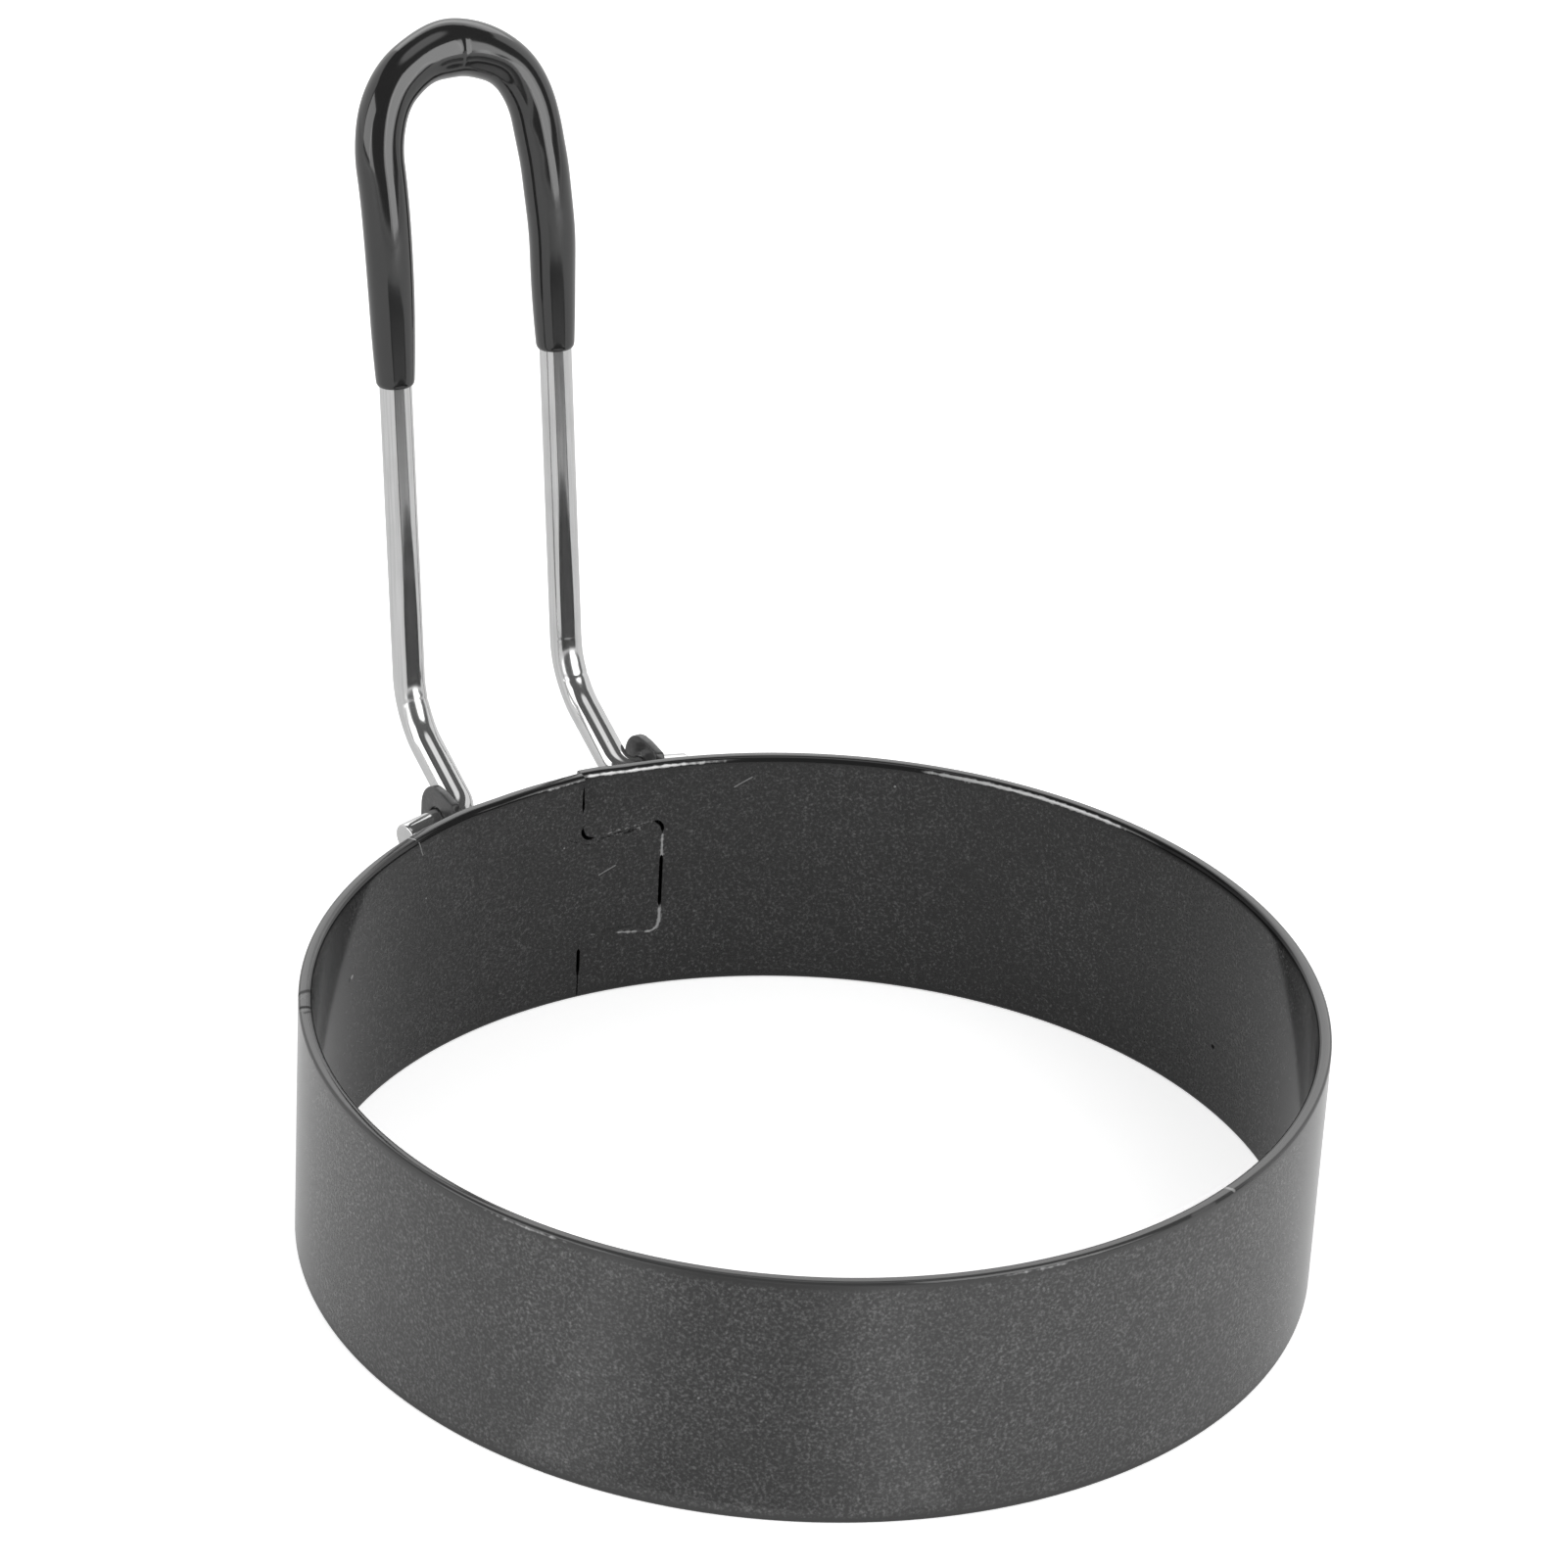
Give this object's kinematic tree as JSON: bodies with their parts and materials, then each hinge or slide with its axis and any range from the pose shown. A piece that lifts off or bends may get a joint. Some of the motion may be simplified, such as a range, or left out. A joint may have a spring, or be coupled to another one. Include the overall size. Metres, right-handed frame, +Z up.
{
  "type": "egg ring",
  "caption": "Round egg ring of coated sheet, closed by a dovetail seam, with a cranked wire handle that folds on an eared bracket and has a black dipped grip.",
  "frame": {"origin": "middle of the footprint, on the plane of the band's lower edge", "axes": "+Z up along the ring's axis, +Y from the ring's middle towards the handle, +X along the handle's hinge axis"},
  "size_m": [0.09, 0.116, 0.0891],
  "materials": {
    "band_coating": "charcoal non-stick coating with fine pale metallic flecks, satin",
    "bracket_coating": "dark non-stick coating, satin",
    "wire_plating": "bright plated steel wire",
    "grip_vinyl": "black dipped vinyl, glossy"
  },
  "bodies": {
    "ring": {"ring_band": "band_coating", "hinge_bracket": "bracket_coating"},
    "handle": {"handle_wire": "wire_plating", "grip_sleeve": "grip_vinyl"}
  },
  "joints": [
    {"name": "handle_fold", "type": "hinge", "parent": "ring", "child": "handle", "pos_m": [0, 0.03423, 0.0205], "axis": [1, 0, 0], "range_deg": [-87, 83]}
  ]
}
